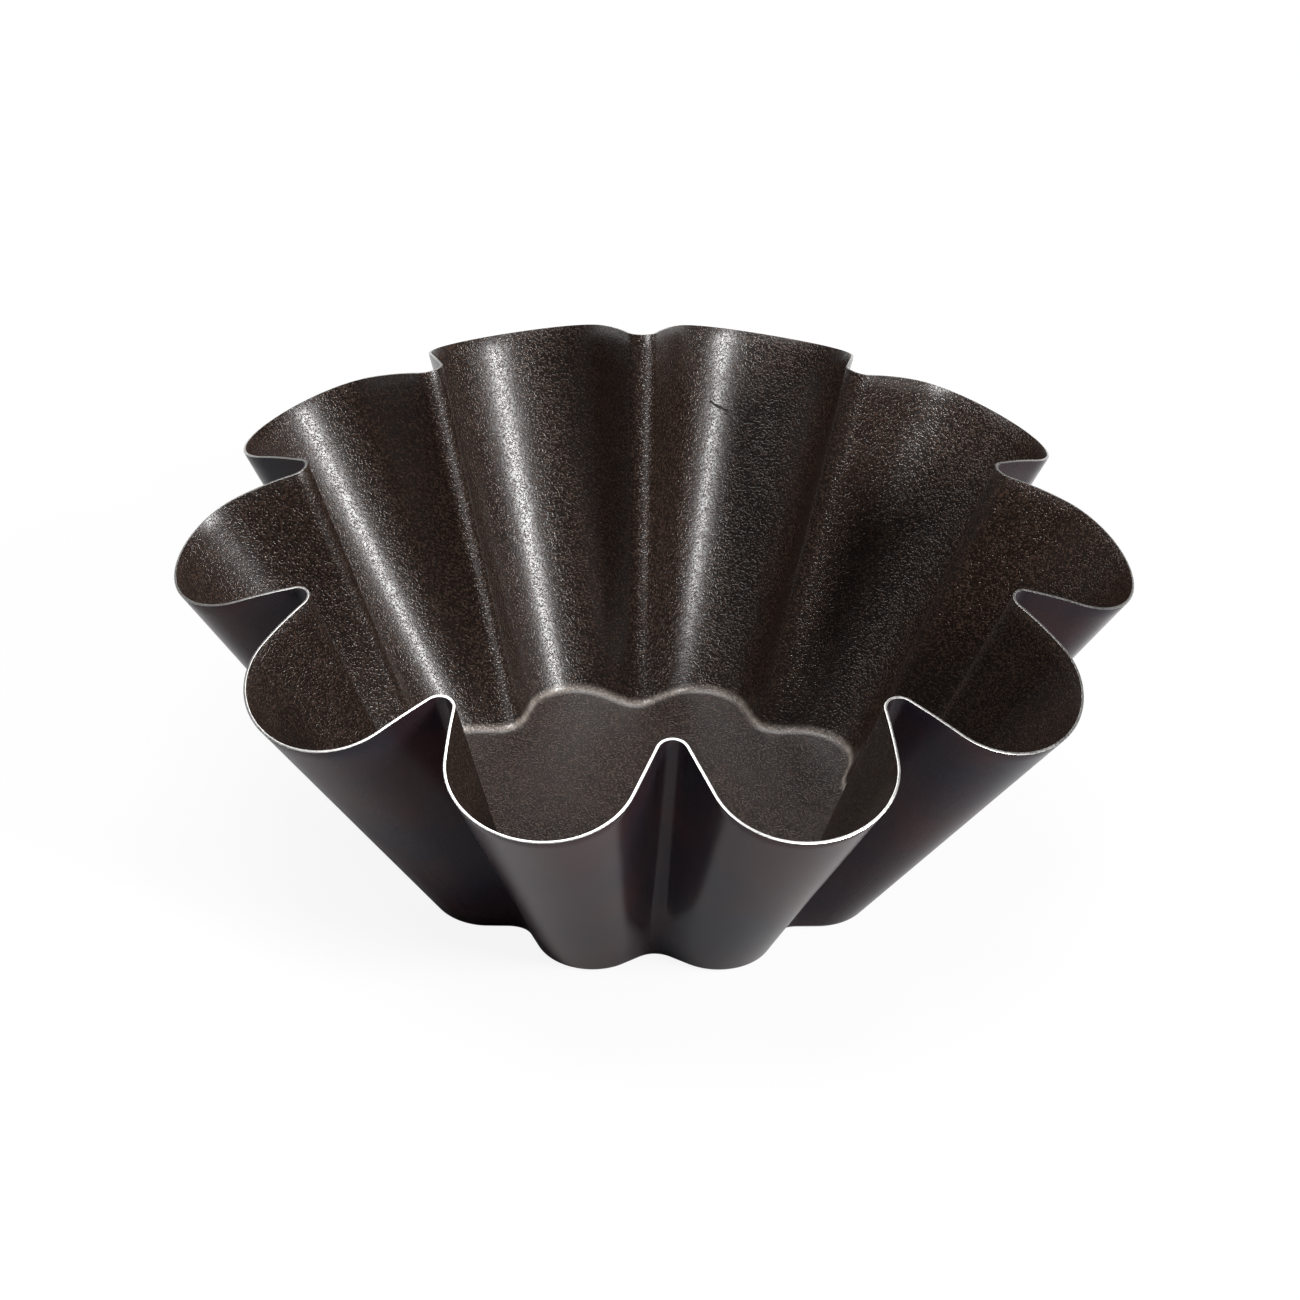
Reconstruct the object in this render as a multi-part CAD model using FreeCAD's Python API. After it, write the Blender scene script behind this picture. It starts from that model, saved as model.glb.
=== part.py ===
"""Fluted brioche mould: one thin steel sheet, pressed from a round blank.

Millimetres, +Z up, Z = 0 under the floor. The mould's axis is Z and one lobe points along +X.

The wall runs straight up between two fluted outlines: a gently waved one round the floor and a
deep one at the mouth. Both outlines are built in the same way (lobe arc, straight flank, valley
arc), so the wall is made of conical lobes and valleys with flatter flanks between them. A rolled
corner joins it to the floor. The mouth isn't cut level: the sheet comes from a round blank, so
every point of the edge lies equally far up the wall, and the valleys, which are steeper, stand
higher than the lobes.
"""

import math
import os

import FreeCAD
import Part

# ---- driving sizes -------------------------------------------------------------------------
SHEET = 0.6                    # thickness of the steel

FLUTES = 10

# The outline at the level of the lobe tips' edge.
LOBE_HEIGHT = 64.0             # that level, above the ground
MOUTH_RADIUS = 100.0           # lobe tips
MOUTH_FLUTE_DEPTH = 28.2       # lobe tips to valley bottoms, measured along the radius
MOUTH_VALLEY_ROUND = 2.8       # arc of a valley
MOUTH_FLANK = 12.5             # straight run between a lobe's arc and a valley's

# The outline where the wall, drawn straight on down, would meet the ground.
BASE_RADIUS = 53.0             # lobe tips
BASE_FLUTE_DEPTH = 7.2         # lobe tips to valley bottoms
BASE_VALLEY_ROUND = 5.0        # arc of a valley
BASE_FLANK = 4.6               # straight run between a lobe's arc and a valley's

CORNER_ROUND = 2.6             # outside radius of the rolled corner between floor and wall
DRAW_START_RADIUS = 52.7       # where the blank turned upwards: the mouth is equally far from it
# --------------------------------------------------------------------------------------------

# How finely half a flute and the rolled corner are followed.
LOBE_STEPS, FLANK_STEPS, VALLEY_STEPS = 5, 4, 3
CORNER_STEPS = 6

HALF_PITCH = math.pi / FLUTES
UP = FreeCAD.Vector(0, 0, 1)
AXIS = FreeCAD.Vector(0, 0, 0)


def polar(radius, angle):
    return FreeCAD.Vector(radius * math.cos(angle), radius * math.sin(angle), 0)


class Flute:
    """One flute of an outline: lobe arc, straight flank and valley arc, joined with no corner.

    A place on it is its share of the way from the lobe tip (0) to a valley bottom (-1 or 1).
    """

    def __init__(self, tip, depth, valley_round, flank):
        valley_reach = tip - depth + valley_round
        self.valley = valley_round
        self.valley_centre = polar(valley_reach, HALF_PITCH)
        self.lobe = self.lobe_round(tip, valley_reach, valley_round, flank)
        self.lobe_centre = polar(tip - self.lobe, 0)
        between = self.valley_centre - self.lobe_centre
        self.lobe_end = math.atan2(between.y, between.x) - math.atan2(flank, self.lobe + valley_round)
        self.runs = (self.lobe * self.lobe_end, flank, valley_round * (self.lobe_end - HALF_PITCH))
        self.length = sum(self.runs)

    @staticmethod
    def lobe_round(tip, valley_reach, valley_round, flank):
        """Radius of the lobe that a flank of this length joins to the valley with no corner.

        The two arcs' centres are one corner of a right triangle apart: its sides are the flank
        and the sum of the two radii.
        """
        inward = valley_reach * math.cos(HALF_PITCH)
        centres = tip ** 2 + valley_reach ** 2 - 2 * tip * inward
        return (centres - valley_round ** 2 - flank ** 2) / (2 * (tip - inward + valley_round))

    def shares(self):
        """The places that the wall's edges pass through, over the whole flute."""
        lobe_arc, flank, valley_arc = self.runs
        half = [lobe_arc * step / LOBE_STEPS for step in range(LOBE_STEPS)]
        half += [lobe_arc + flank * step / FLANK_STEPS for step in range(FLANK_STEPS)]
        half += [lobe_arc + flank + valley_arc * step / VALLEY_STEPS
                 for step in range(VALLEY_STEPS + 1)]
        half = [run / self.length for run in half]
        return [-share for share in reversed(half[1:])] + half

    def point(self, share):
        lobe_arc, flank, _ = self.runs
        run = abs(share) * self.length
        if run <= lobe_arc:
            place = self.lobe_centre + polar(self.lobe, run / self.lobe)
        elif run <= lobe_arc + flank:
            place = self.lobe_centre + polar(self.lobe, self.lobe_end)
            place += polar(run - lobe_arc, self.lobe_end + math.pi / 2)
        else:
            place = self.valley_centre - polar(self.valley, self.facing_angle(run))
        return FreeCAD.Vector(place.x, math.copysign(place.y, share), 0)

    def facing_angle(self, run):
        """Angle of the outward direction, this far from the lobe tip."""
        lobe_arc, flank, _ = self.runs
        if run <= lobe_arc:
            return run / self.lobe
        return self.lobe_end - max(run - lobe_arc - flank, 0) / self.valley

    def outward(self, share):
        """Level direction square to the outline, as long as half the flute's outline."""
        angle = self.facing_angle(abs(share) * self.length)
        return polar(self.length, math.copysign(angle, share))


BASE_FLUTE = Flute(BASE_RADIUS, BASE_FLUTE_DEPTH, BASE_VALLEY_ROUND, BASE_FLANK)
MOUTH_FLUTE = Flute(MOUTH_RADIUS, MOUTH_FLUTE_DEPTH, MOUTH_VALLEY_ROUND, MOUTH_FLANK)
SHARES = MOUTH_FLUTE.shares()


def corner_inset(height, slope, corner_round):
    """How far the rolled corner lies inside the sharp one, at a height above its floor.

    The slope is the wall's lean from the vertical.
    """
    if height >= corner_round * (1 - math.sin(slope)):
        return 0.0
    centre = -corner_round * (1 - math.sin(slope)) / math.cos(slope)
    arc = centre + math.sqrt(corner_round ** 2 - (corner_round - height) ** 2)
    return height * math.tan(slope) - arc


def skin_point(share, height, depth):
    """A point at a height above the ground, on the skin that lies this deep in the sheet."""
    rise = height / LOBE_HEIGHT
    base, lean = BASE_FLUTE.point(share), MOUTH_FLUTE.point(share) - BASE_FLUTE.point(share)
    out = BASE_FLUTE.outward(share) * (1 - rise) + MOUTH_FLUTE.outward(share) * rise
    out.normalize()
    slope = math.atan2(lean.dot(out), LOBE_HEIGHT)
    through_sheet = depth / math.cos(slope)
    rolled = corner_inset(height - depth, slope, CORNER_ROUND - depth)
    return base + lean * rise - out * (through_sheet + rolled) + UP * height


def flute_edge(height, depth):
    """A smooth curve along one flute that leaves each valley bottom square to its radius."""
    points = [skin_point(share, height, depth) for share in SHARES]
    speed = (points[1] - points[0]).Length / (SHARES[1] - SHARES[0])
    curve = Part.BSplineCurve()
    curve.interpolate(
        Points=points,
        Parameters=SHARES,
        InitialTangent=polar(speed, math.pi / 2 - HALF_PITCH),
        FinalTangent=polar(speed, math.pi / 2 + HALF_PITCH),
        Scale=False,
    )
    return curve.toShape()


def outline(height, depth):
    """The closed fluted outline of a skin at a height above the ground."""
    edges = []
    for count in range(FLUTES):
        edge = flute_edge(height, depth)
        edge.rotate(AXIS, UP, math.degrees(2 * HALF_PITCH) * count)
        edges.append(edge)
    return Part.Wire(edges)


def blank_reach():
    """Distance from where the draw starts to the edge of the mouth, the same all the way round."""
    return math.hypot(MOUTH_RADIUS - DRAW_START_RADIUS, LOBE_HEIGHT)


def filled_skin(depth):
    """Everything inside a skin of the sheet: 0 deep is the outside, SHEET deep is the inside."""
    steepest = math.atan2(MOUTH_RADIUS - MOUTH_FLUTE_DEPTH - BASE_RADIUS + BASE_FLUTE_DEPTH, LOBE_HEIGHT)
    turn = math.pi / 2 - steepest
    heights = [depth + (CORNER_ROUND - depth) * (1 - math.cos(turn * step / CORNER_STEPS))
               for step in range(CORNER_STEPS + 1)]
    rolled = Part.makeLoft([outline(height, depth) for height in heights], True, False)
    straight = Part.makeLoft([outline(heights[-1], depth), outline(blank_reach(), depth)], True, True)
    return rolled.fuse(straight)


def within_the_blank():
    """All the space that the round blank can reach: its skin cuts the mouth square to the sheet."""
    reach = blank_reach()
    turn = polar(DRAW_START_RADIUS, 0)
    foot = turn + polar(reach, 0)
    slanting = turn + FreeCAD.Vector(reach, 0, reach) * math.sqrt(0.5)
    crown = turn + UP * reach
    below = UP * -SHEET
    section = Part.Wire([
        Part.Arc(foot, slanting, crown).toShape(),
        Part.makeLine(crown, UP * reach),
        Part.makeLine(UP * reach, below),
        Part.makeLine(below, foot + below),
        Part.makeLine(foot + below, foot),
    ])
    return Part.Face(section).revolve(AXIS, UP, 360)


def mould_shell():
    sheet = filled_skin(0.0).cut(filled_skin(SHEET))
    trimmed = sheet.common(within_the_blank())
    return trimmed.removeSplitter().Solids[0]


os.makedirs("parts", exist_ok=True)
mould_shell().exportStep("parts/mould_shell.step")
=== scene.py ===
"""Fluted brioche mould: one thin pressed steel shell with a coating inside, another outside, and a
bare cut edge, on a white studio floor. Blender 4.5, metres, +Z up, the mould's axis on Z.
"""

import math

import bpy
from mathutils import Matrix, Vector


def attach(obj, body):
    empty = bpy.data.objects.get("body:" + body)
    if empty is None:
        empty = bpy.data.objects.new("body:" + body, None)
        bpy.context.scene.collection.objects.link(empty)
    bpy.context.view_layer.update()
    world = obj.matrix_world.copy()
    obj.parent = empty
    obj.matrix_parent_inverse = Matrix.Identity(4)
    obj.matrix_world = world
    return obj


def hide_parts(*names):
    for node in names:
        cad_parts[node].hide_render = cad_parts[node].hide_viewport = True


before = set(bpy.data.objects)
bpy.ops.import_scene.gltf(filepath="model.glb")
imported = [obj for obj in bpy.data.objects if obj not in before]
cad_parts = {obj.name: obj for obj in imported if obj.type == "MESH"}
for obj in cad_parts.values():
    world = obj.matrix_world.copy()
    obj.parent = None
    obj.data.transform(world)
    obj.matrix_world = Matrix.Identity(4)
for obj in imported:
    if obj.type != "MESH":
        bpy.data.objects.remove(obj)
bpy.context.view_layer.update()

bl_info = {
    "name": "Brioche mould",
    "version": (1, 0, 0),
    "blender": (4, 5, 0),
    "location": "3D View > Sidebar > Mould",
    "description": "Presses, coats and lights a fluted brioche mould",
    "category": "Object",
}

MM = 0.001

# Lamps: direction seen from the mould (degrees), distance, width, height and power.
LAMPS = (
    ("key_strip", -42.5, 33.5, 1.5, 0.28, 0.60, 28.0),
    ("overhead_box", 150.0, 77.0, 1.3, 1.10, 1.10, 19.5),
)

# A small nick in the inside coating, from one end to the other.
NICK = (Vector((15.96, 85.98, 52.91)) * MM, Vector((19.73, 85.61, 50.59)) * MM)

# The edge ends this much short of the blank's, so that the sheet's thickness stays within the part.
EDGE_ALLOWANCE = 0.03 * MM

# How finely one flute and its rows are followed.
LOBE_COLUMNS, FLANK_COLUMNS, VALLEY_COLUMNS = 20, 7, 10
FLOOR_ROWS, CORNER_ROWS, WALL_ROWS = 5, 10, 24
HALF_COLUMNS = LOBE_COLUMNS + FLANK_COLUMNS + VALLEY_COLUMNS
ROWS = FLOOR_ROWS + CORNER_ROWS + WALL_ROWS

# Steps that bring a column's end onto the blank's edge, and the gap that closes between flutes.
EDGE_STEPS = 4
SEAM_GAP = 0.005 * MM

# Edges that turn by more than the first angle are rounded, and by more than the second look sharp.
SHEAR_ANGLE, CREASE_ANGLE = math.radians(60), math.radians(25)
SHEAR_SEGMENTS = 2

# Grain: its lumps, orange peel and dots in grains, what each gives to the height, and its clouds.
LUMP_SIZE, PEEL_SIZE, DOT_SIZE = 1.15, 5.0, 0.8
FLECK_HEIGHT, LUMP_HEIGHT, PEEL_HEIGHT = 0.36, 0.22, 0.4
CLOUD_SIZE = 24 * MM

# A dot becomes a fleck at this level, which falls as the share of flecks rises. The orange peel
# shifts the dots, and the change from none to full takes the softness on each side.
FLECK_LEVEL, FLECK_FALL, FLECK_DRIFT, FLECK_SOFTNESS = 0.72, 0.44, 0.12, 0.07

# Lighter patches: their size and how far they fray the rubbed rim, where the lighter valleys start
# across the flute and which patches show there, the levels at which the painted highlight along the
# corner's foot starts, peaks and ends, and which patches show there over the least of it.
PATCH_SIZE, RIM_FRAYING = 2.2 * MM, 1.6
VALLEY_START, VALLEY_PATCHES = 0.86, (0.48, 0.72)
CORNER_HIGHLIGHT_LEVELS = (0.62 * MM, 1.15 * MM, 2.5 * MM)
CORNER_HIGHLIGHT_PATCHES, CORNER_HIGHLIGHT_LEAST = (0.3, 0.65), 0.4

# The coatings where rubbed thin and along the valleys, inside also under the painted corner
# highlight, and the nick's bottom.
RUBBED_AND_HIGHLIGHT_INSIDE = (0.27, 0.23, 0.203)
RUBBED_OUTSIDE = (0.20, 0.19, 0.18)
NICK_COLOUR = (0.006, 0.004, 0.004)

# The nick's ragged sides: the size of the rags, how far they reach, and where its depth fades.
RAG_SIZE, RAG_REACH, NICK_FADE = 0.6 * MM, 1.2, (0.35, 0.75)

# Floor: half its width, its level just under the mould, how much of the white the camera sees on
# it, and the ray length under which it is clear, for what touches it.
FLOOR_HALF, FLOOR_LEVEL = 6.0, -0.02 * MM
WHITE_SHARE, TOUCHING = 0.9, 0.1 * MM

# What a gloss sees of the room: its brightness at the horizon and overhead, and how steeply, as a
# sine, a ray rises to the darkest of it.
HORIZON_GLOSS, CEILING_GLOSS, CEILING_RISE = 0.40, 0.025, 0.30

# Where the lamps point.
LAMPS_AIM = Vector((0, 0, 0.04))

# Camera: the photograph's width and the focal length fitted to it, both in its pixels, the width
# of the sensor in millimetres, and the nearest and furthest that it sees.
PHOTO_WIDTH, FOCAL_LENGTH = 1300, 8412.338
SENSOR_WIDTH = 36.0
CLIP_NEAR, CLIP_FAR = 0.05, 60.0


# ---- sizes and finishes a user would change --------------------------------------------------

def length(name, description, default):
    """A size in metres."""
    return bpy.props.FloatProperty(
        name=name, description=description, default=default, min=0.0,
        subtype="DISTANCE", unit="LENGTH", precision=5)


def share(name, description, default, most=1.0):
    """A plain number from 0 up to the most it may be."""
    return bpy.props.FloatProperty(
        name=name, description=description, default=default, min=0.0, max=most,
        subtype="FACTOR")


def colour(name, description, default):
    """A colour in linear light."""
    return bpy.props.FloatVectorProperty(
        name=name, description=description, default=default, size=3, min=0.0, max=1.0,
        subtype="COLOR")


class ShellSizes(bpy.types.PropertyGroup):
    """Sizes of the pressed steel shell."""
    flutes: bpy.props.IntProperty(
        name="Flutes", description="How many flutes the wall has", default=10, min=3)
    sheet: length("Sheet", "Thickness of the steel", 0.6 * MM)
    lobe_height: length("Lobe height", "Level of the lobe tips' edge", 64.0 * MM)
    mouth_tips: length("Mouth tips", "Radius of the mouth at the lobe tips", 100.0 * MM)
    mouth_depth: length("Mouth flute depth", "Lobe tips to valleys at the mouth", 28.2 * MM)
    mouth_valley: length("Mouth valley round", "Arc of a valley at the mouth", 2.8 * MM)
    mouth_flank: length("Mouth flank", "Straight run beside a valley, at the mouth", 12.5 * MM)
    base_tips: length("Base tips", "Radius of the base at the lobe tips", 53.0 * MM)
    base_depth: length("Base flute depth", "Lobe tips to valleys at the base", 7.2 * MM)
    base_valley: length("Base valley round", "Arc of a valley at the base", 5.0 * MM)
    base_flank: length("Base flank", "Straight run beside a valley, at the base", 4.6 * MM)
    corner: length("Corner round", "Outside radius between floor and wall", 2.6 * MM)
    draw_start: length("Draw start", "Radius at which the blank turns up", 52.7 * MM)
    edge_round: length("Edge round", "How far the shear rounded the cut edge", 0.07 * MM)


class CoatingFinish(bpy.types.PropertyGroup):
    """Colours and grain of the coatings and the bare edge."""
    inside: colour("Inside", "Colour of the speckled inside coating", (0.0096, 0.0051, 0.0037))
    inside_fleck: colour("Inside fleck", "Colour of the coating's bright flecks",
                         (0.046, 0.0265, 0.0185))
    outside: colour("Outside", "Colour of the smooth outside coating", (0.0225, 0.0105, 0.0120))
    outside_cool: colour("Outside cool", "Colour it clouds towards", (0.0110, 0.0090, 0.0128))
    outside_fleck: colour("Outside fleck", "Colour of its few flecks", (0.07, 0.058, 0.058))
    steel: colour("Steel", "Colour of the bare cut edge", (0.82, 0.81, 0.79))
    grain: length("Grain", "Size of the inside coating's grains", 0.62 * MM)


class StudioSettings(bpy.types.PropertyGroup):
    """Floor, lamps and camera."""
    backdrop: colour("Backdrop", "Colour of the floor", (0.90, 0.90, 0.90))
    fill: share("Fill", "Strength of the even light all round", 0.10, 4.0)
    elevation: bpy.props.FloatProperty(
        name="Elevation", description="How high the camera stands, seen from the mould",
        default=math.radians(35.1726), subtype="ANGLE")
    turn: bpy.props.FloatProperty(
        name="Turn", description="How far the camera stands round the mould",
        default=0.0614, subtype="ANGLE")
    pitch: bpy.props.FloatProperty(
        name="Pitch", description="How far the camera looks down",
        default=math.radians(33.9529), subtype="ANGLE")
    swing: bpy.props.FloatProperty(
        name="Swing", description="How far the camera looks to the right of the mould",
        default=math.radians(-0.0210), subtype="ANGLE")
    roll: bpy.props.FloatProperty(
        name="Roll", description="How far the camera leans",
        default=math.radians(2.1489), subtype="ANGLE")
    distance: length("Distance", "Camera to the middle of the mould", 1.78581)
    lens: bpy.props.FloatProperty(
        name="Lens", description="Focal length on a 36 mm wide sensor",
        default=FOCAL_LENGTH / PHOTO_WIDTH * SENSOR_WIDTH, unit="CAMERA")


# ---- node helpers ----------------------------------------------------------------------------

def add(tree, kind, inputs=None, **options):
    """Adds a node, sets its options, and fills or joins its inputs."""
    node = tree.nodes.new(kind)
    for name, value in options.items():
        setattr(node, name, value)
    for key, value in (inputs or {}).items():
        put(tree, node.inputs[key], value)
    return node


def put(tree, socket, value):
    """Joins a socket to another node's output or a worked number, or gives it a plain value."""
    if isinstance(value, Number):
        value = value.socket
    if isinstance(value, bpy.types.NodeSocket):
        tree.links.new(value, socket)
    else:
        socket.default_value = value


class Number:
    """A number in a node tree: working with it adds Math nodes."""

    def __init__(self, tree, socket):
        self.tree, self.socket = tree, socket

    def work(self, operation, *others):
        return worked(self.tree, operation, self, *others)

    def __add__(self, other):
        return self.work("ADD", other)

    def __radd__(self, other):
        return self.work("ADD", other)

    def __sub__(self, other):
        return self.work("SUBTRACT", other)

    def __rsub__(self, other):
        return worked(self.tree, "SUBTRACT", other, self)

    def __mul__(self, other):
        return self.work("MULTIPLY", other)

    def __rmul__(self, other):
        return self.work("MULTIPLY", other)

    def __truediv__(self, other):
        return self.work("DIVIDE", other)

    def __rtruediv__(self, other):
        return worked(self.tree, "DIVIDE", other, self)

    def squared(self):
        return self * self

    def root(self):
        return self.work("SQRT")

    def cos(self):
        return self.work("COSINE")

    def sin(self):
        return self.work("SINE")

    def magnitude(self):
        return self.work("ABSOLUTE")

    def less_than(self, other):
        return self.work("LESS_THAN", other)

    def within(self, low=0.0, high=1.0):
        return self.work("MAXIMUM", low).work("MINIMUM", high)


def worked(tree, operation, *values):
    """The result of one Math node."""
    node = tree.nodes.new("ShaderNodeMath")
    node.operation = operation
    for socket, value in zip(node.inputs, values):
        put(tree, socket, value)
    return Number(tree, node.outputs[0])


def angle_of(across, along):
    """The direction of a level line."""
    return worked(across.tree, "ARCTAN2", along, across)


def ramp(tree, value, start, end, low=0.0, high=1.0, smooth=False):
    """A value that goes from low to high while another goes from start to end."""
    node = add(tree, "ShaderNodeMapRange", interpolation_type="SMOOTHSTEP" if smooth else "LINEAR")
    for key, given in (("Value", value), ("From Min", start), ("From Max", end),
                       ("To Min", low), ("To Max", high)):
        put(tree, node.inputs[key], given)
    return Number(tree, node.outputs["Result"])


def group(name, kind, takes, gives):
    """An empty node group with named sockets: (tree, its inputs by name, its output node)."""
    tree = bpy.data.node_groups.new(name, kind)
    for in_out, sockets in (("INPUT", takes), ("OUTPUT", gives)):
        for label, socket_type in sockets:
            tree.interface.new_socket(name=label, in_out=in_out,
                                      socket_type="NodeSocket" + socket_type)
    entry = tree.nodes.new("NodeGroupInput")
    inputs = {label: Number(tree, entry.outputs[label]) if socket_type in ("Float", "Int")
              else entry.outputs[label] for label, socket_type in takes}
    return tree, inputs, tree.nodes.new("NodeGroupOutput")


def use(tree, inner, kind, values):
    """Places a node group and gives back its outputs by name."""
    node = add(tree, kind, node_tree=inner)
    for key, value in values.items():
        put(tree, node.inputs[key], value)
    return {socket.name: Number(tree, socket) if socket.type == "VALUE" else socket
            for socket in node.outputs if socket.name}


# ---- the shell's shape -----------------------------------------------------------------------

FLUTE_SOCKETS = [("Tips", "Float"), ("Depth", "Float"), ("Valley round", "Float"),
                 ("Flank", "Float"), ("Half pitch", "Float")]


def lobe_group():
    """The lobe arc that a straight flank joins to the valley's arc with no corner."""
    tree, size, out = group(
        "Lobe arc", "GeometryNodeTree", FLUTE_SOCKETS,
        [("Lobe round", "Float"), ("Lobe end", "Float"), ("Lobe arc", "Float"),
         ("Valley arc", "Float"), ("Half outline", "Float")])
    tips, valley, flank, half_pitch = (
        size[key] for key in ("Tips", "Valley round", "Flank", "Half pitch"))
    valley_reach = tips - size["Depth"] + valley
    valley_x, valley_y = valley_reach * half_pitch.cos(), valley_reach * half_pitch.sin()
    centres = tips.squared() + valley_reach.squared() - 2 * tips * valley_x
    lobe = (centres - valley.squared() - flank.squared()) / (2 * (tips - valley_x + valley))
    end = angle_of(valley_x - tips + lobe, valley_y) - angle_of(lobe + valley, flank)
    lobe_arc, valley_arc = lobe * end, valley * (end - half_pitch)
    for key, value in (("Lobe round", lobe), ("Lobe end", end), ("Lobe arc", lobe_arc),
                       ("Valley arc", valley_arc),
                       ("Half outline", lobe_arc + flank + valley_arc)):
        put(tree, out.inputs[key], value)
    return tree


def outline_group(lobe_arc_tree):
    """A place on a fluted outline, by its share of the way along it from lobe tip to valley.

    The outward direction there is as long as half a flute's outline, so that two outlines mix in
    proportion.
    """
    tree, size, out = group(
        "Fluted outline", "GeometryNodeTree", FLUTE_SOCKETS + [("Along", "Float")],
        [("X", "Float"), ("Y", "Float"), ("Out X", "Float"), ("Out Y", "Float")])
    arcs = use(tree, lobe_arc_tree, "GeometryNodeGroup",
               {label: size[label] for label, _ in FLUTE_SOCKETS})
    lobe, end, valley = arcs["Lobe round"], arcs["Lobe end"], size["Valley round"]
    past_lobe = size["Along"] * arcs["Half outline"] - arcs["Lobe arc"]
    on_lobe = end + past_lobe.work("MINIMUM", 0.0) / lobe
    on_flank = past_lobe.within(0.0, size["Flank"])
    on_valley = end - (past_lobe - size["Flank"]).work("MAXIMUM", 0.0) / valley
    x = (size["Tips"] - lobe + lobe * on_lobe.cos() - on_flank * end.sin()
         + valley * (end.cos() - on_valley.cos()))
    y = (lobe * on_lobe.sin() + on_flank * end.cos()
         + valley * (end.sin() - on_valley.sin()))
    facing = on_lobe + on_valley - end
    for key, value in (("X", x), ("Y", y), ("Out X", arcs["Half outline"] * facing.cos()),
                       ("Out Y", arcs["Half outline"] * facing.sin())):
        put(tree, out.inputs[key], value)
    return tree


def blank_edge_group():
    """One step nearer to the share of the lobe height at which a column meets the blank's edge."""
    tree, size, out = group(
        "Blank edge", "GeometryNodeTree",
        [("X", "Float"), ("Y", "Float"), ("Lean X", "Float"), ("Lean Y", "Float"),
         ("Lobe height", "Float"), ("Draw start", "Float"), ("Reach", "Float"),
         ("Share", "Float")],
        [("Share", "Float")])
    near = size["Share"]
    x, y = size["X"] + size["Lean X"] * near, size["Y"] + size["Lean Y"] * near
    radius = (x.squared() + y.squared()).root()
    past_start = radius - size["Draw start"]
    height = size["Lobe height"]
    miss = past_start.squared() + (height * near).squared() - size["Reach"].squared()
    growth = 2 * (past_start * (x * size["Lean X"] + y * size["Lean Y"]) / radius
                  + height.squared() * near)
    put(tree, out.inputs["Share"], near - miss / growth)
    return tree


SHELL_SOCKETS = [
    ("Flutes", "Int", "flutes"), ("Lobe height", "Float", "lobe_height"),
    ("Mouth tips", "Float", "mouth_tips"), ("Mouth flute depth", "Float", "mouth_depth"),
    ("Mouth valley round", "Float", "mouth_valley"), ("Mouth flank", "Float", "mouth_flank"),
    ("Base tips", "Float", "base_tips"), ("Base flute depth", "Float", "base_depth"),
    ("Base valley round", "Float", "base_valley"), ("Base flank", "Float", "base_flank"),
    ("Corner round", "Float", "corner"), ("Draw start", "Float", "draw_start"),
]


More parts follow.
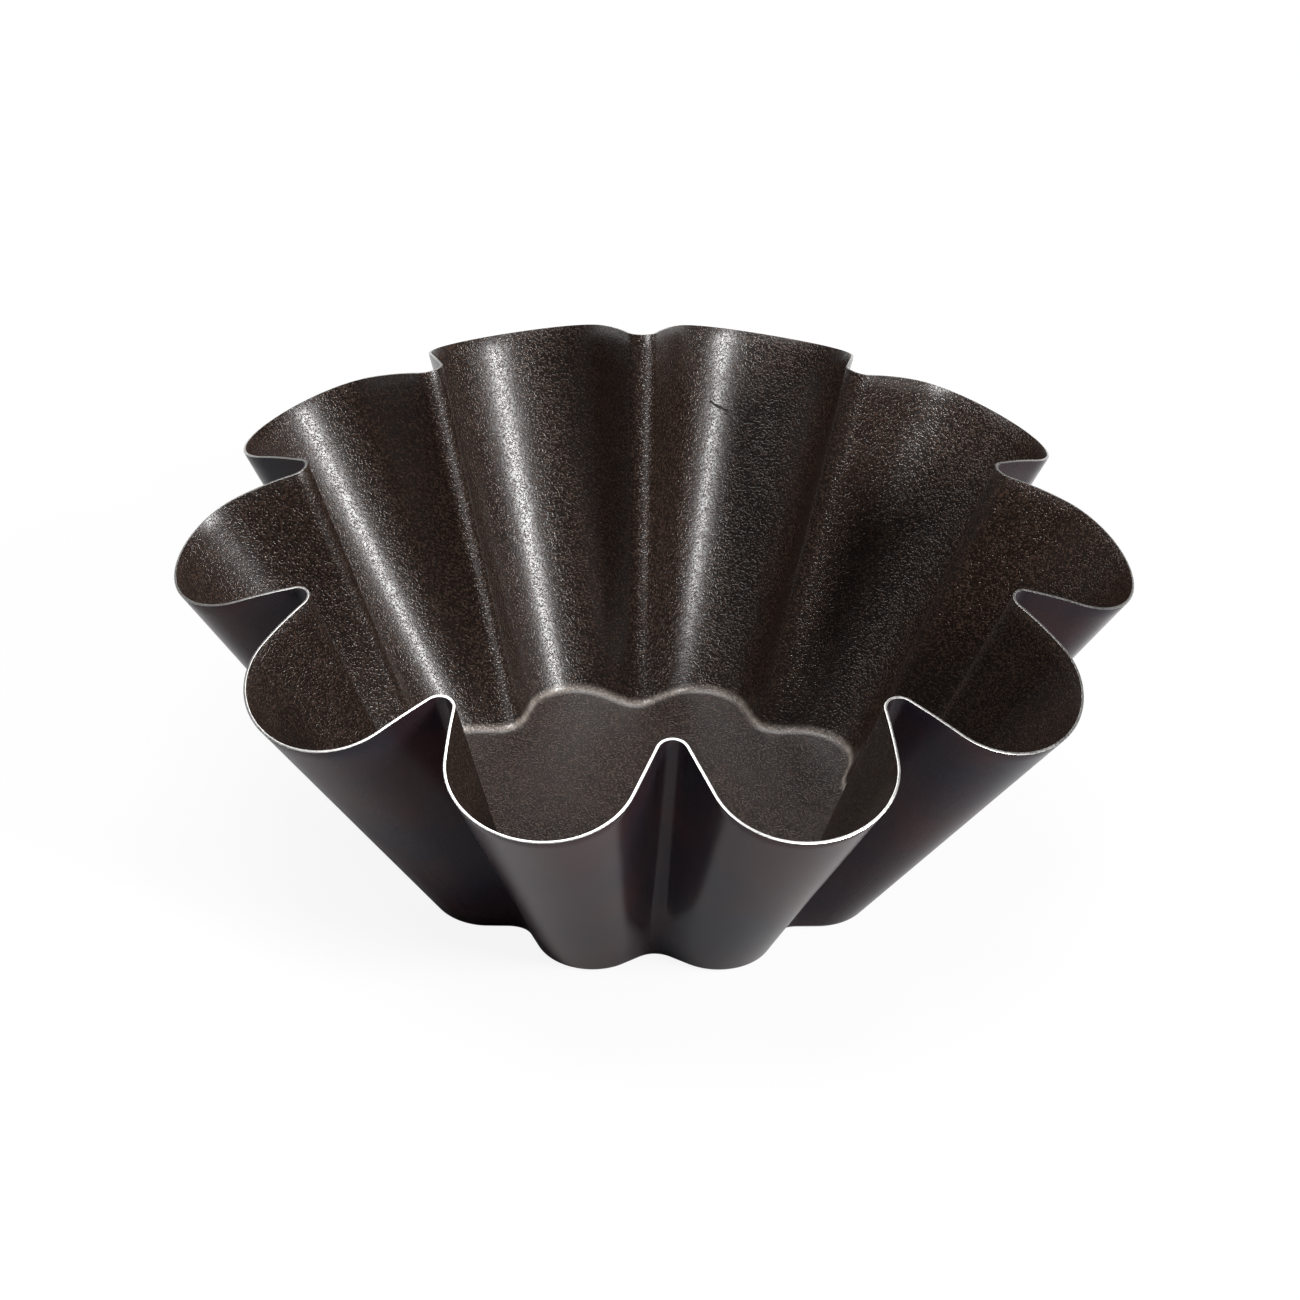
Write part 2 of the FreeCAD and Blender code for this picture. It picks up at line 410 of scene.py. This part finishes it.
def shell_tree():
    """The outer skin: one flute is pressed from a flat grid and repeated round the axis."""
    tree, size, out = group(
        "Fluted shell", "GeometryNodeTree",
        [(label, kind) for label, kind, _ in SHELL_SOCKETS] + [("Coating", "Material")],
        [("Geometry", "Geometry")])

    # Columns run across a flute and rows from the middle of the floor up to the mouth.
    grid = add(tree, "GeometryNodeMeshGrid",
               {"Size X": 2.0 * HALF_COLUMNS, "Size Y": float(ROWS),
                "Vertices X": 2 * HALF_COLUMNS + 1, "Vertices Y": ROWS + 1})
    place = add(tree, "ShaderNodeSeparateXYZ",
                {0: tree.nodes.new("GeometryNodeInputPosition").outputs[0]})
    column, row = Number(tree, place.outputs["X"]), Number(tree, place.outputs["Y"]) + ROWS / 2
    across, side = column.magnitude(), column.work("SIGN")
    half_pitch = math.pi / size["Flutes"]
    floor_share = 1 - (1 - (row / FLOOR_ROWS).within()).squared()
    corner_share = ((row - FLOOR_ROWS) / CORNER_ROWS).within()
    wall_share = ((row - FLOOR_ROWS - CORNER_ROWS) / WALL_ROWS).within()

    # Each column keeps its share of the outline's length all the way up.
    flute = {level: {"Tips": size[level + " tips"], "Depth": size[level + " flute depth"],
                     "Valley round": size[level + " valley round"],
                     "Flank": size[level + " flank"], "Half pitch": half_pitch}
             for level in ("Base", "Mouth")}
    lobe_arc_tree = lobe_group()
    arcs = use(tree, lobe_arc_tree, "GeometryNodeGroup", flute["Mouth"])
    along = (arcs["Lobe arc"] * (across / LOBE_COLUMNS).within()
             + size["Mouth flank"] * ((across - LOBE_COLUMNS) / FLANK_COLUMNS).within()
             + arcs["Valley arc"] * ((across - LOBE_COLUMNS - FLANK_COLUMNS)
                                     / VALLEY_COLUMNS).within()) / arcs["Half outline"]
    outline = outline_group(lobe_arc_tree)
    base, mouth = (use(tree, outline, "GeometryNodeGroup", {**flute[level], "Along": along})
                   for level in ("Base", "Mouth"))
    lean_x, lean_y = mouth["X"] - base["X"], mouth["Y"] - base["Y"]
    height, start = size["Lobe height"], size["Draw start"]

    # The mouth isn't level: every column ends equally far from where the blank turned up.
    reach = ((size["Mouth tips"] - start).squared() + height.squared()).root() - EDGE_ALLOWANCE
    blank_edge, edge_share = blank_edge_group(), 1.0
    for _ in range(EDGE_STEPS):
        edge_share = use(tree, blank_edge, "GeometryNodeGroup",
                         {"X": base["X"], "Y": base["Y"], "Lean X": lean_x, "Lean Y": lean_y,
                          "Lobe height": height, "Draw start": start, "Reach": reach,
                          "Share": edge_share})["Share"]

    # Level of each row: up the rolled corner as far as the steepest column needs, then the wall.
    valley_lean = (size["Mouth tips"] - size["Mouth flute depth"]
                   - size["Base tips"] + size["Base flute depth"])
    corner, corner_turn = size["Corner round"], angle_of(valley_lean, height)
    corner_top = corner * (1 - corner_turn.cos())
    level = (corner * (1 - (corner_turn * corner_share).cos())
             + (edge_share * height - corner_top) * wall_share)
    rise = level / height

    # Outward direction and lean of the wall there, and the roll that rounds its foot.
    out_x = base["Out X"] * (1 - rise) + mouth["Out X"] * rise
    out_y = base["Out Y"] * (1 - rise) + mouth["Out Y"] * rise
    out_length = (out_x.squared() + out_y.squared()).root()
    out_x, out_y = out_x / out_length, out_y / out_length
    lean = (lean_x * out_x + lean_y * out_y) / height
    upright = 1 / (1 + lean.squared()).root()
    low = 1 - lean * upright
    roll_centre = -1 * corner * low / upright
    roll_arc = (corner.squared() - (corner - level).squared()).work("MAXIMUM", 0.0).root()
    inset = level.less_than(corner * low) * (level * lean - roll_centre - roll_arc)

    x = (base["X"] + lean_x * rise - out_x * inset) * floor_share
    y = (base["Y"] + lean_y * rise - out_y * inset) * floor_share * side
    pressed = add(tree, "GeometryNodeSetPosition",
                  {"Geometry": grid.outputs["Mesh"],
                   "Position": add(tree, "ShaderNodeCombineXYZ",
                                   {"X": x, "Y": y, "Z": level}).outputs[0]})

    # Two measures stay on the skin for its finish: how far below the mouth's edge, and where
    # across the flute from lobe (0) to valley (1).
    below_edge = ((1 - wall_share) * (edge_share * height - corner_top) / upright
                  + (1 - corner_share) * corner + (1 - floor_share) * start)
    geometry = pressed.outputs[0]
    for label, value in (("below_edge", below_edge), ("to_valley", along)):
        geometry = add(tree, "GeometryNodeStoreNamedAttribute",
                       {"Geometry": geometry, "Name": label, "Value": value},
                       data_type="FLOAT", domain="POINT").outputs[0]

    around = add(tree, "GeometryNodeMeshLine", {"Count": size["Flutes"], "Offset": (0, 0, 0)})
    turn = Number(tree, tree.nodes.new("GeometryNodeInputIndex").outputs[0]) * half_pitch * 2
    repeated = add(tree, "GeometryNodeInstanceOnPoints",
                   {"Points": around.outputs[0], "Instance": geometry,
                    "Rotation": add(tree, "ShaderNodeCombineXYZ", {"Z": turn}).outputs[0]})
    realized = add(tree, "GeometryNodeRealizeInstances", {"Geometry": repeated.outputs[0]})
    closed = add(tree, "GeometryNodeMergeByDistance",
                 {"Geometry": realized.outputs[0], "Distance": SEAM_GAP})
    smooth = add(tree, "GeometryNodeSetShadeSmooth", {"Geometry": closed.outputs[0]})
    coated = add(tree, "GeometryNodeSetMaterial",
                 {"Geometry": smooth.outputs[0], "Material": size["Coating"]})
    put(tree, out.inputs["Geometry"], coated.outputs[0])
    return tree


def keep_mesh(piece):
    """Turns what a piece's modifiers made into its plain mesh, and takes them off."""
    depsgraph = bpy.context.evaluated_depsgraph_get()
    mesh = bpy.data.meshes.new_from_object(piece.evaluated_get(depsgraph), depsgraph=depsgraph)
    piece.modifiers.clear()
    piece.data = mesh
    mesh.name = piece.name


def press_shell(sizes, outside, inside, edge):
    """Presses the shell, gives it the sheet's thickness and a sheared edge, and keeps the mesh."""
    shell = bpy.data.objects.new("brioche_mould_shell", bpy.data.meshes.new("blank"))
    bpy.context.scene.collection.objects.link(shell)

    press = shell.modifiers.new("Press", "NODES")
    press.node_group = shell_tree()
    sockets = {item.name: item.identifier for item in press.node_group.interface.items_tree
               if item.in_out == "INPUT"}
    for label, _, prop in SHELL_SOCKETS:
        press[sockets[label]] = getattr(sizes, prop)
    press[sockets["Coating"]] = outside
    keep_mesh(shell)

    shell.data.materials.clear()
    for material in (outside, inside, edge):
        shell.data.materials.append(material)
    gauge = shell.modifiers.new("Gauge", "SOLIDIFY")
    gauge.thickness, gauge.offset, gauge.use_even_offset = sizes.sheet, -1.0, True
    gauge.material_offset, gauge.material_offset_rim = 1, 2

    shear = shell.modifiers.new("Shear", "BEVEL")
    shear.width, shear.segments = sizes.edge_round, SHEAR_SEGMENTS
    shear.limit_method, shear.angle_limit = "ANGLE", SHEAR_ANGLE

    keep_mesh(shell)
    shell.data.set_sharp_from_angle(angle=CREASE_ANGLE)
    return shell


# ---- finishes --------------------------------------------------------------------------------

def new_material(name):
    """An empty material: (its tree, its Principled shader)."""
    material = bpy.data.materials.new(name)
    material.use_nodes = True
    tree = material.node_tree
    tree.nodes.clear()
    shader = tree.nodes.new("ShaderNodeBsdfPrincipled")
    output = tree.nodes.new("ShaderNodeOutputMaterial")
    tree.links.new(shader.outputs[0], output.inputs["Surface"])
    return material, tree, shader


def noise(tree, place, size, detail=2.0, roughness=0.5):
    """Smooth noise whose lumps are about this size, as a number round one half."""
    node = add(tree, "ShaderNodeTexNoise",
               {"Vector": place, "Detail": detail, "Roughness": roughness})
    put(tree, node.inputs["Scale"], 1 / size)
    return Number(tree, node.outputs["Fac"])


def speckle_group():
    """Grain of a sprayed and baked coating: its height, its light flecks and its slow clouding."""
    tree, size, out = group(
        "Coating speckle", "ShaderNodeTree",
        [("Grain", "Float"), ("Fleck share", "Float")],
        [("Height", "Float"), ("Fleck", "Float"), ("Cloud", "Float")])
    place = tree.nodes.new("ShaderNodeTexCoord").outputs["Object"]
    grain = size["Grain"]
    lumps = noise(tree, place, grain * LUMP_SIZE, 1.0, 0.6)
    orange_peel = noise(tree, place, grain * PEEL_SIZE, 1.0)
    dots = noise(tree, place, grain * DOT_SIZE, 1.0, 0.7)
    edge = FLECK_LEVEL - size["Fleck share"] * FLECK_FALL
    fleck = ramp(tree, dots + (orange_peel - 0.5) * FLECK_DRIFT,
                 edge - FLECK_SOFTNESS, edge + FLECK_SOFTNESS)
    put(tree, out.inputs["Height"],
        fleck * FLECK_HEIGHT + lumps * LUMP_HEIGHT + orange_peel * PEEL_HEIGHT)
    put(tree, out.inputs["Fleck"], fleck)
    put(tree, out.inputs["Cloud"], noise(tree, place, CLOUD_SIZE, 3.0))
    return tree


def wear_and_highlight_group():
    """Where the coating is lighter: rubbed thin under the mouth's edge, along the valleys, and a
    painted highlight along the corner's foot.
    """
    tree, size, out = group(
        "Coating wear and painted highlight", "ShaderNodeTree",
        [("Rim width", "Float"), ("Valley strength", "Float"), ("Corner highlight", "Float")],
        [("Wear and highlight", "Float")])
    place = tree.nodes.new("ShaderNodeTexCoord").outputs["Object"]
    below, valley = (
        Number(tree, add(tree, "ShaderNodeAttribute", attribute_name=label).outputs["Fac"])
        for label in ("below_edge", "to_valley"))
    broken = noise(tree, place, PATCH_SIZE, 4.0, 0.65)
    worn_rim = ramp(tree, below / size["Rim width"] + (broken - 0.5) * RIM_FRAYING, 0.0, 1.0,
                    1.0, 0.0, smooth=True)
    # Lighter along the valleys.
    lighter_valley = (ramp(tree, valley, VALLEY_START, 1.0, smooth=True)
                   * ramp(tree, broken, *VALLEY_PATCHES, smooth=True) * size["Valley strength"])
    height = Number(tree, add(tree, "ShaderNodeSeparateXYZ", {0: place}).outputs["Z"])
    # A painted highlight: a light band just above the floor, along the inside corner's rounding.
    foot, peak, top = CORNER_HIGHLIGHT_LEVELS
    painted_corner_highlight = (ramp(tree, height, foot, peak, smooth=True)
                   * ramp(tree, height, peak, top, 1.0, 0.0, smooth=True)
                   * ramp(tree, broken, *CORNER_HIGHLIGHT_PATCHES, CORNER_HIGHLIGHT_LEAST, 1.0)
                   * size["Corner highlight"])
    put(tree, out.inputs["Wear and highlight"], worn_rim.work("MAXIMUM", lighter_valley).work("MAXIMUM", painted_corner_highlight))
    return tree


def nick_group():
    """1 on a short scratch in the coating and 0 off it."""
    tree, size, out = group("Nick", "ShaderNodeTree", [("Width", "Float")], [("Nick", "Float")])
    place = tree.nodes.new("ShaderNodeTexCoord").outputs["Object"]
    run = NICK[1] - NICK[0]
    offset = add(tree, "ShaderNodeVectorMath", {0: place, 1: NICK[0]}, operation="SUBTRACT")
    along = Number(tree, add(tree, "ShaderNodeVectorMath",
                             {0: offset.outputs[0], 1: run.normalized()},
                             operation="DOT_PRODUCT").outputs["Value"])
    nearest = add(tree, "ShaderNodeVectorMath",
                  {0: run.normalized(), "Scale": along.within(0.0, run.length)},
                  operation="SCALE")
    apart = Number(tree, add(tree, "ShaderNodeVectorMath",
                             {0: offset.outputs[0], 1: nearest.outputs[0]},
                             operation="DISTANCE").outputs["Value"])
    ragged = apart / size["Width"] + (noise(tree, place, RAG_SIZE) - 0.5) * RAG_REACH
    put(tree, out.inputs["Nick"], ramp(tree, ragged, *NICK_FADE, 1.0, 0.0, smooth=True))
    return tree


def mix_colour(tree, amount, low, high):
    """A colour between two others, each of them a plain colour or another node's output."""
    node = add(tree, "ShaderNodeMix", data_type="RGBA")
    for key, value in ((0, amount), (6, low), (7, high)):
        put(tree, node.inputs[key], (*value, 1.0) if isinstance(value, (tuple, list)) else value)
    return node.outputs[2]


def scaled(plain_colour, factor):
    """A plain colour made darker or lighter."""
    return [part * factor for part in plain_colour]


def bump(tree, height, strength, distance):
    """The normal of a surface with this height on it."""
    return add(tree, "ShaderNodeBump", {"Height": height, "Strength": strength,
                                        "Distance": distance}).outputs[0]


def inside_coating(finish, speckle, wear_and_highlight, nick):
    """Very dark brown, finely speckled, with a soft sheen that breaks up into sparkles."""
    material, tree, shader = new_material("inside_coating")
    grain = use(tree, speckle, "ShaderNodeGroup", {"Grain": finish.grain, "Fleck share": 0.37})
    # The corner's share here paints a highlight along the inside corner.
    lightening = use(tree, wear_and_highlight, "ShaderNodeGroup", {"Rim width": 0.5 * MM, "Valley strength": 0.15,
                                              "Corner highlight": 1.6})
    nicked = use(tree, nick, "ShaderNodeGroup", {"Width": 0.42 * MM})["Nick"]
    ground = mix_colour(tree, ramp(tree, grain["Cloud"], 0.3, 0.7),
                        scaled(finish.inside, 0.86), scaled(finish.inside, 1.16))
    flecked = mix_colour(tree, grain["Fleck"], ground, tuple(finish.inside_fleck))
    # Lighter where rubbed thin and along the valleys, and a painted highlight along the inside
    # corner.
    worn_and_highlighted = mix_colour(tree, lightening["Wear and highlight"] * (0.52 + grain["Fleck"] * 0.4), flecked, RUBBED_AND_HIGHLIGHT_INSIDE)
    put(tree, shader.inputs["Base Color"], mix_colour(tree, nicked, worn_and_highlighted, NICK_COLOUR))
    put(tree, shader.inputs["Roughness"],
        0.31 + (grain["Cloud"] - 0.5) * 0.06 - grain["Fleck"] * 0.04 + nicked * 0.4)
    put(tree, shader.inputs["Normal"],
        bump(tree, grain["Height"] - nicked * 1.5, 1.0, 0.13 * MM))
    shader.inputs["Specular IOR Level"].default_value = 0.66
    return material


def outside_coating(finish, speckle, wear_and_highlight):
    """Smooth, dark plum grey and fairly glossy."""
    material, tree, shader = new_material("outside_coating")
    grain = use(tree, speckle, "ShaderNodeGroup",
                {"Grain": finish.grain * 0.65, "Fleck share": 0.12})
    lightening = use(tree, wear_and_highlight, "ShaderNodeGroup", {"Rim width": 0.4 * MM, "Valley strength": 0.15,
                                              "Corner highlight": 0.0})
    ground = mix_colour(tree, ramp(tree, grain["Cloud"], 0.38, 0.62),
                        tuple(finish.outside), tuple(finish.outside_cool))
    flecked = mix_colour(tree, grain["Fleck"] * 0.22, ground, tuple(finish.outside_fleck))
    put(tree, shader.inputs["Base Color"],
        mix_colour(tree, lightening["Wear and highlight"] * 0.4, flecked, RUBBED_OUTSIDE))
    put(tree, shader.inputs["Roughness"], 0.22 + (grain["Cloud"] - 0.5) * 0.08)
    put(tree, shader.inputs["Normal"], bump(tree, grain["Height"], 0.3, 0.03 * MM))
    shader.inputs["Specular IOR Level"].default_value = 0.075
    return material


def cut_edge(finish):
    """Bare sheared steel: bright, with the shear's fine scores across it."""
    material, tree, shader = new_material("cut_edge")
    place = tree.nodes.new("ShaderNodeTexCoord").outputs["Object"]
    scores = noise(tree, place, 0.5 * MM, 3.0, 0.6)
    dulling = noise(tree, place, 9 * MM, 2.0)
    bright = mix_colour(tree, ramp(tree, dulling, 0.35, 0.7, 0.0, 0.25),
                        tuple(finish.steel), scaled(finish.steel, 0.62))
    put(tree, shader.inputs["Base Color"],
        mix_colour(tree, ramp(tree, scores, 0.45, 0.75, 0.0, 0.3), bright,
                   scaled(finish.steel, 0.45)))
    put(tree, shader.inputs["Roughness"], ramp(tree, scores, 0.3, 0.7, 0.28, 0.5))
    put(tree, shader.inputs["Normal"], bump(tree, scores, 0.25, 0.05 * MM))
    shader.inputs["Metallic"].default_value = 1.0
    return material


# ---- studio ----------------------------------------------------------------------------------

def rays(tree, *kinds):
    """1 for rays of these kinds, as the Light Path node names them, and 0 for all others."""
    path = tree.nodes.new("ShaderNodeLightPath")
    return sum(Number(tree, path.outputs[f"Is {kind} Ray"]) for kind in kinds).within()


def lay_floor(settings):
    """A wide paper floor with a soft shadow: nearly white to the camera, and clear from below."""
    mesh = bpy.data.meshes.new("studio_floor")
    corners = [(FLOOR_HALF * x, FLOOR_HALF * y, FLOOR_LEVEL)
               for x, y in ((-1, -1), (1, -1), (1, 1), (-1, 1))]
    mesh.from_pydata(corners, [], [(0, 1, 2, 3)])
    floor = bpy.data.objects.new("studio_floor", mesh)
    bpy.context.scene.collection.objects.link(floor)

    material = bpy.data.materials.new("studio_floor")
    material.use_nodes = True
    tree = material.node_tree
    tree.nodes.clear()
    paper = add(tree, "ShaderNodeBsdfDiffuse", {"Color": (*settings.backdrop, 1.0)})
    white = add(tree, "ShaderNodeEmission", {"Color": (1, 1, 1, 1), "Strength": 1.0})
    shown = add(tree, "ShaderNodeMixShader",
                {0: rays(tree, "Camera") * WHITE_SHARE, 1: paper.outputs[0], 2: white.outputs[0]})
    from_below = Number(tree, tree.nodes.new("ShaderNodeNewGeometry").outputs["Backfacing"])
    path_length = Number(tree, tree.nodes.new("ShaderNodeLightPath").outputs["Ray Length"])
    clear = tree.nodes.new("ShaderNodeBsdfTransparent")
    one_sided = add(tree, "ShaderNodeMixShader",
                    {0: from_below.work("MAXIMUM", path_length.less_than(TOUCHING)),
                     1: shown.outputs[0], 2: clear.outputs[0]})
    output = tree.nodes.new("ShaderNodeOutputMaterial")
    tree.links.new(one_sided.outputs[0], output.inputs["Surface"])
    mesh.materials.append(material)


def light_all_round(settings):
    """Even light from everywhere, white to the camera.

    A gloss doesn't see that white: it sees a grey horizon under a dark ceiling.
    """
    world = bpy.data.worlds.new("studio")
    world.use_nodes = True
    bpy.context.scene.world = world
    tree = world.node_tree
    tree.nodes.clear()
    camera, seen = rays(tree, "Camera"), rays(tree, "Camera", "Glossy", "Transmission")
    incoming = tree.nodes.new("ShaderNodeNewGeometry").outputs["Incoming"]
    downward = add(tree, "ShaderNodeSeparateXYZ", {0: incoming}).outputs["Z"]
    room = ramp(tree, downward, 0.0, -CEILING_RISE, HORIZON_GLOSS, CEILING_GLOSS, smooth=True)
    shown = camera + (1 - camera) * room
    strength = settings.fill + seen * (shown - settings.fill)
    sky = add(tree, "ShaderNodeBackground", {"Color": (1, 1, 1, 1), "Strength": strength})
    output = tree.nodes.new("ShaderNodeOutputWorld")
    tree.links.new(sky.outputs[0], output.inputs["Surface"])


def hang_lamp(name, place, aim, wide, high, watts):
    """A soft rectangular lamp that hangs at a place and faces a point."""
    lamp = bpy.data.lights.new(name, "AREA")
    lamp.shape, lamp.size, lamp.size_y, lamp.energy = "RECTANGLE", wide, high, watts
    hung = bpy.data.objects.new(name, lamp)
    hung.location = place
    hung.rotation_euler = (aim - place).to_track_quat("-Z", "Y").to_euler()
    bpy.context.scene.collection.objects.link(hung)


def set_camera(settings):
    """The camera, where it stood for the photograph."""
    camera = bpy.data.objects.new("camera", bpy.data.cameras.new("camera"))
    camera.data.sensor_width = SENSOR_WIDTH
    camera.data.lens = settings.lens
    camera.data.clip_start, camera.data.clip_end = CLIP_NEAR, CLIP_FAR
    far, high = math.cos(settings.elevation), math.sin(settings.elevation)
    place = Vector((0, -far, high)) * settings.distance
    level, down = math.cos(settings.pitch), math.sin(settings.pitch)
    ahead = Vector((math.sin(settings.swing) * level, math.cos(settings.swing) * level, -down))
    right = Vector((math.cos(settings.swing), -math.sin(settings.swing), 0))
    upward = right.cross(ahead)
    lean = math.cos(settings.roll), math.sin(settings.roll)
    leaning_right = right * lean[0] + upward * lean[1]
    leaning_up = upward * lean[0] - right * lean[1]
    stand = Matrix((leaning_right, leaning_up, -ahead)).transposed().to_4x4()
    stand.translation = place
    camera.matrix_world = Matrix.Rotation(-settings.turn, 4, "Z") @ stand
    bpy.context.scene.collection.objects.link(camera)
    bpy.context.scene.camera = camera


# ---- operators and panel ---------------------------------------------------------------------

class MOULD_OT_press_shell(bpy.types.Operator):
    """Press the fluted shell and give it its three finishes"""
    bl_idname = "mould.press_shell"
    bl_label = "Press the shell"

    def execute(self, context):
        sizes, finish = context.scene.mould_sizes, context.scene.mould_finish
        speckle, wear_and_highlight = speckle_group(), wear_and_highlight_group()
        shell = press_shell(sizes, outside_coating(finish, speckle, wear_and_highlight),
                            inside_coating(finish, speckle, wear_and_highlight, nick_group()), cut_edge(finish))
        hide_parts("mould_shell")
        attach(shell, "root")
        return {"FINISHED"}


class MOULD_OT_set_studio(bpy.types.Operator):
    """Lay the floor, hang the lamps and set up the camera"""
    bl_idname = "mould.set_studio"
    bl_label = "Set the studio"

    def execute(self, context):
        settings = context.scene.mould_studio
        lay_floor(settings)
        light_all_round(settings)
        for name, azimuth, elevation, distance, wide, high, watts in LAMPS:
            level = math.cos(math.radians(elevation)) * distance
            place = Vector((level * math.cos(math.radians(azimuth)),
                            level * math.sin(math.radians(azimuth)),
                            math.sin(math.radians(elevation)) * distance))
            hang_lamp(name, LAMPS_AIM + place, LAMPS_AIM, wide, high, watts)
        set_camera(settings)
        return {"FINISHED"}


class MOULD_PT_sidebar(bpy.types.Panel):
    """Lists the steps that make the mould and its studio"""
    bl_label = "Brioche mould"
    bl_idname = "MOULD_PT_sidebar"
    bl_space_type = "VIEW_3D"
    bl_region_type = "UI"
    bl_category = "Mould"

    def draw(self, context):
        for group_name, step in (("mould_sizes", MOULD_OT_press_shell),
                                 ("mould_finish", None),
                                 ("mould_studio", MOULD_OT_set_studio)):
            settings = getattr(context.scene, group_name)
            for label in settings.bl_rna.properties.keys():
                if label not in ("rna_type", "name"):
                    self.layout.prop(settings, label)
            if step:
                self.layout.operator(step.bl_idname)


PROPERTY_GROUPS = {
    "mould_sizes": ShellSizes, "mould_finish": CoatingFinish, "mould_studio": StudioSettings}
STEPS = (MOULD_OT_press_shell, MOULD_OT_set_studio)


def register():
    """Adds the settings, the operators and the panel."""
    for name, settings in PROPERTY_GROUPS.items():
        bpy.utils.register_class(settings)
        setattr(bpy.types.Scene, name, bpy.props.PointerProperty(type=settings))
    for listed in (*STEPS, MOULD_PT_sidebar):
        bpy.utils.register_class(listed)


def unregister():
    """Takes them off again."""
    for listed in (MOULD_PT_sidebar, *reversed(STEPS)):
        bpy.utils.unregister_class(listed)
    for name, settings in PROPERTY_GROUPS.items():
        delattr(bpy.types.Scene, name)
        bpy.utils.unregister_class(settings)


def main():
    """Makes the mould and its studio."""
    register()
    bpy.context.scene.view_settings.view_transform = "Standard"
    bpy.ops.mould.press_shell()
    bpy.ops.mould.set_studio()


if __name__ == "__main__":
    main()
